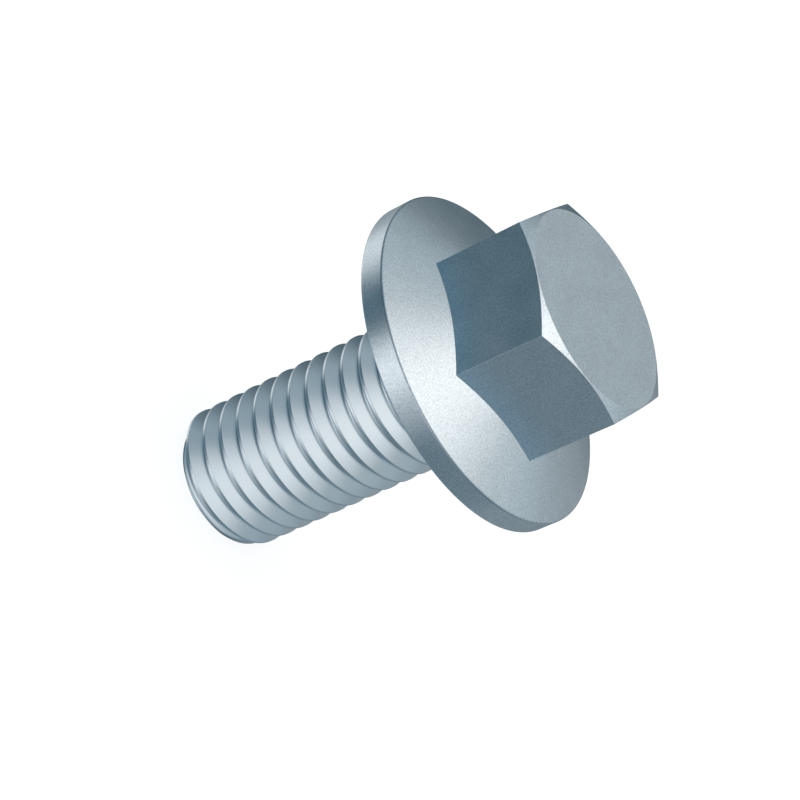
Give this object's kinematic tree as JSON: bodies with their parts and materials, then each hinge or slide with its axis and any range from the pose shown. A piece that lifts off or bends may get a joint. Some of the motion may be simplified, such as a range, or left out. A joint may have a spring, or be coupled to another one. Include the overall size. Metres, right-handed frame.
{
  "type": "flange bolt",
  "caption": "Hexagon flange bolt, fully threaded: a chamfered hexagon on a round conical flange over a right-hand metric thread with a chamfered end.",
  "frame": {"origin": "centre of the annular bearing face under the flange, on the bolt's axis", "axes": "+Z along the bolt's axis from the threaded end to the top of the head, +X through a corner of the hexagon, +Y through the middle of a flat"},
  "size_m": [0.0266, 0.0266, 0.0366],
  "materials": {
    "zinc_steel": "bluish zinc plating over forged and rolled steel, satin with fine grain"
  },
  "bodies": {
    "root": {"flange_bolt": "zinc_steel"}
  },
  "joints": []
}
